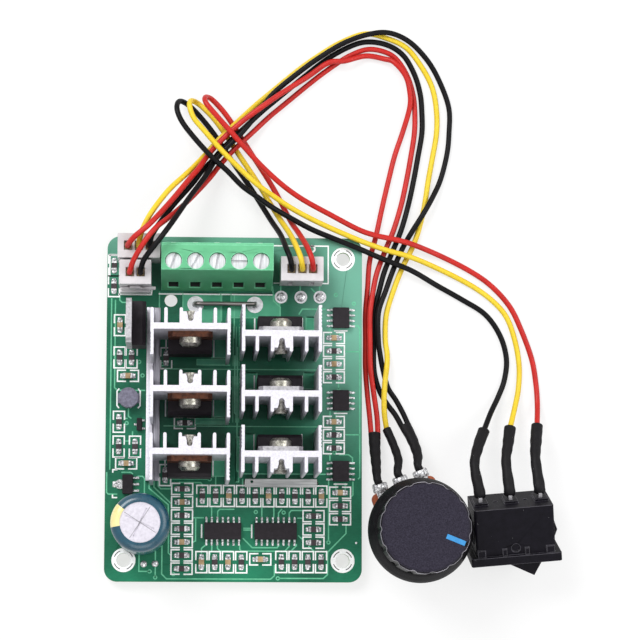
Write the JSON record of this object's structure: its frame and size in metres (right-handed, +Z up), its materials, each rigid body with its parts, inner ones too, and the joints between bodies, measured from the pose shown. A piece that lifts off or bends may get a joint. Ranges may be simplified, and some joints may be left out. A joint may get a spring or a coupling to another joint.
{
  "type": "brushless motor controller board",
  "caption": "Small green motor controller board with finned heatsinks, screw terminals, plug leads, a wired speed knob and a wired rocker switch.",
  "frame": {"origin": "centre of the lower left mounting hole at the board's underside", "axes": "+X along the board's short side to the right, +Y along its long side towards the terminal block, +Z up out of the board's parts side"},
  "size_m": [0.1056, 0.1319, 0.0291],
  "materials": {
    "board_green": "solder mask over copper",
    "resistor_black": "glazed",
    "capacitor_tan": "matt",
    "solder_tin": "bright solder",
    "epoxy_black": "moulded",
    "choke_grey": "matt",
    "bare_wire": "bright",
    "strip_steel": "drawn",
    "terminal_green": "moulded",
    "tab_tin": "plated",
    "screw_brass": "zinc plated",
    "can_aluminium": "drawn",
    "sleeve_teal": "heat-shrunk",
    "crimp_brass": "stamped",
    "pot_steel": "nickel plated",
    "phenolic_brown": "laminated",
    "knob_grey": "satin",
    "pointer_blue": "inlaid",
    "switch_black": "moulded",
    "rocker_black": "moulded",
    "nylon_white": "moulded",
    "screw_steel": "zinc plated",
    "clamp_brass": "nickel plated",
    "heatsink_aluminium": "extruded",
    "shrink_black": "heat-shrunk",
    "wire_red": "extruded insulation",
    "wire_yellow": "extruded insulation",
    "wire_black": "extruded insulation"
  },
  "bodies": {
    "board": {"circuit_board": "board_green", "smd_resistors": "resistor_black", "smd_capacitors": "capacitor_tan", "smd_ends": "solder_tin", "chip_bodies": "epoxy_black", "chip_leads": "solder_tin", "choke": "choke_grey", "jumper_wire": "bare_wire", "current_strip": "strip_steel", "terminal_block_housing": "terminal_green", "terminal_pins": "solder_tin", "heatsink_1": "heatsink_aluminium", "heatsink_2": "heatsink_aluminium", "heatsink_3": "heatsink_aluminium", "heatsink_4": "heatsink_aluminium", "heatsink_5": "heatsink_aluminium", "heatsink_6": "heatsink_aluminium", "power_bodies": "epoxy_black", "power_frames": "tab_tin", "heatsink_screws": "screw_brass", "capacitor_can": "can_aluminium", "capacitor_sleeve": "sleeve_teal", "header_pot_sense": "nylon_white", "header_pot_supply": "nylon_white", "header_switch": "nylon_white", "plug_pot_sense": "nylon_white", "plug_pot_supply": "nylon_white", "plug_switch": "nylon_white", "header_pins": "solder_tin", "crimp_contacts": "crimp_brass", "pot_cover": "pot_steel", "pot_board": "phenolic_brown", "pot_lugs": "solder_tin", "pot_bush": "pot_steel", "switch_housing": "switch_black", "switch_terminals": "tab_tin", "heat_shrink_sleeves": "shrink_black", "pot_wire_red_1": "wire_red", "pot_wire_red_2": "wire_red", "pot_wire_yellow": "wire_yellow", "pot_wire_black_1": "wire_black", "pot_wire_black_2": "wire_black", "switch_wire_black": "wire_black", "switch_wire_yellow": "wire_yellow", "switch_wire_red": "wire_red"},
    "knob": {"pot_shaft": "can_aluminium", "knob": "knob_grey", "knob_pointer": "pointer_blue"},
    "rocker": {"switch_rocker": "rocker_black"},
    "contact": {"switch_contact": "crimp_brass"},
    "screw_1": {"terminal_screw_1": "screw_steel"},
    "clamp_1": {"wire_clamp_1": "clamp_brass"},
    "screw_2": {"terminal_screw_2": "screw_steel"},
    "clamp_2": {"wire_clamp_2": "clamp_brass"},
    "screw_3": {"terminal_screw_3": "screw_steel"},
    "clamp_3": {"wire_clamp_3": "clamp_brass"},
    "screw_4": {"terminal_screw_4": "screw_steel"},
    "clamp_4": {"wire_clamp_4": "clamp_brass"},
    "screw_5": {"terminal_screw_5": "screw_steel"},
    "clamp_5": {"wire_clamp_5": "clamp_brass"}
  },
  "joints": [
    {"name": "clamp_1_rise", "type": "slide", "parent": "board", "child": "clamp_1", "axis": [0, 0, 1], "range_m": [0, 0.002]},
    {"name": "screw_1_turn", "type": "hinge", "parent": "board", "child": "screw_1", "pos_m": [0.01104, 0.0688, 0.012], "axis": [0, 0, -1], "range_deg": [0, 1600]},
    {"name": "clamp_2_rise", "type": "slide", "parent": "board", "child": "clamp_2", "axis": [0, 0, 1], "range_m": [0, 0.002]},
    {"name": "screw_2_turn", "type": "hinge", "parent": "board", "child": "screw_2", "pos_m": [0.01612, 0.0688, 0.012], "axis": [0, 0, -1], "range_deg": [0, 1600]},
    {"name": "clamp_3_rise", "type": "slide", "parent": "board", "child": "clamp_3", "axis": [0, 0, 1], "range_m": [0, 0.002]},
    {"name": "screw_3_turn", "type": "hinge", "parent": "board", "child": "screw_3", "pos_m": [0.0212, 0.0688, 0.012], "axis": [0, 0, -1], "range_deg": [0, 1600]},
    {"name": "clamp_4_rise", "type": "slide", "parent": "board", "child": "clamp_4", "axis": [0, 0, 1], "range_m": [0, 0.002]},
    {"name": "screw_4_turn", "type": "hinge", "parent": "board", "child": "screw_4", "pos_m": [0.02628, 0.0688, 0.012], "axis": [0, 0, -1], "range_deg": [0, 1600]},
    {"name": "clamp_5_rise", "type": "slide", "parent": "board", "child": "clamp_5", "axis": [0, 0, 1], "range_m": [0, 0.002]},
    {"name": "screw_5_turn", "type": "hinge", "parent": "board", "child": "screw_5", "pos_m": [0.03136, 0.0688, 0.012], "axis": [0, 0, -1], "range_deg": [0, 1600]},
    {"name": "knob_turn", "type": "hinge", "parent": "board", "child": "knob", "pos_m": [0.0683, 0.0068, 0.01], "axis": [0, 0, 1], "range_deg": [-199, 101]},
    {"name": "rocker_tip", "type": "hinge", "parent": "board", "child": "rocker", "pos_m": [0.09014, 0.00528, 0.00639], "axis": [0.0284, -0.3243, 0.9455], "range_deg": [0, 30]},
    {"name": "contact_tip", "type": "hinge", "parent": "board", "child": "contact", "pos_m": [0.08977, 0.00943, 0.00783], "axis": [0.0284, -0.3243, 0.9455], "range_deg": [-14, 0]}
  ],
  "couplings": [
    {"joint": "screw_1_turn", "follows": "clamp_1_rise", "rad_per_m": 13963},
    {"joint": "screw_2_turn", "follows": "clamp_2_rise", "rad_per_m": 13963},
    {"joint": "screw_3_turn", "follows": "clamp_3_rise", "rad_per_m": 13963},
    {"joint": "screw_4_turn", "follows": "clamp_4_rise", "rad_per_m": 13963},
    {"joint": "screw_5_turn", "follows": "clamp_5_rise", "rad_per_m": 13963},
    {"joint": "contact_tip", "follows": "rocker_tip", "ratio": -0.466}
  ]
}
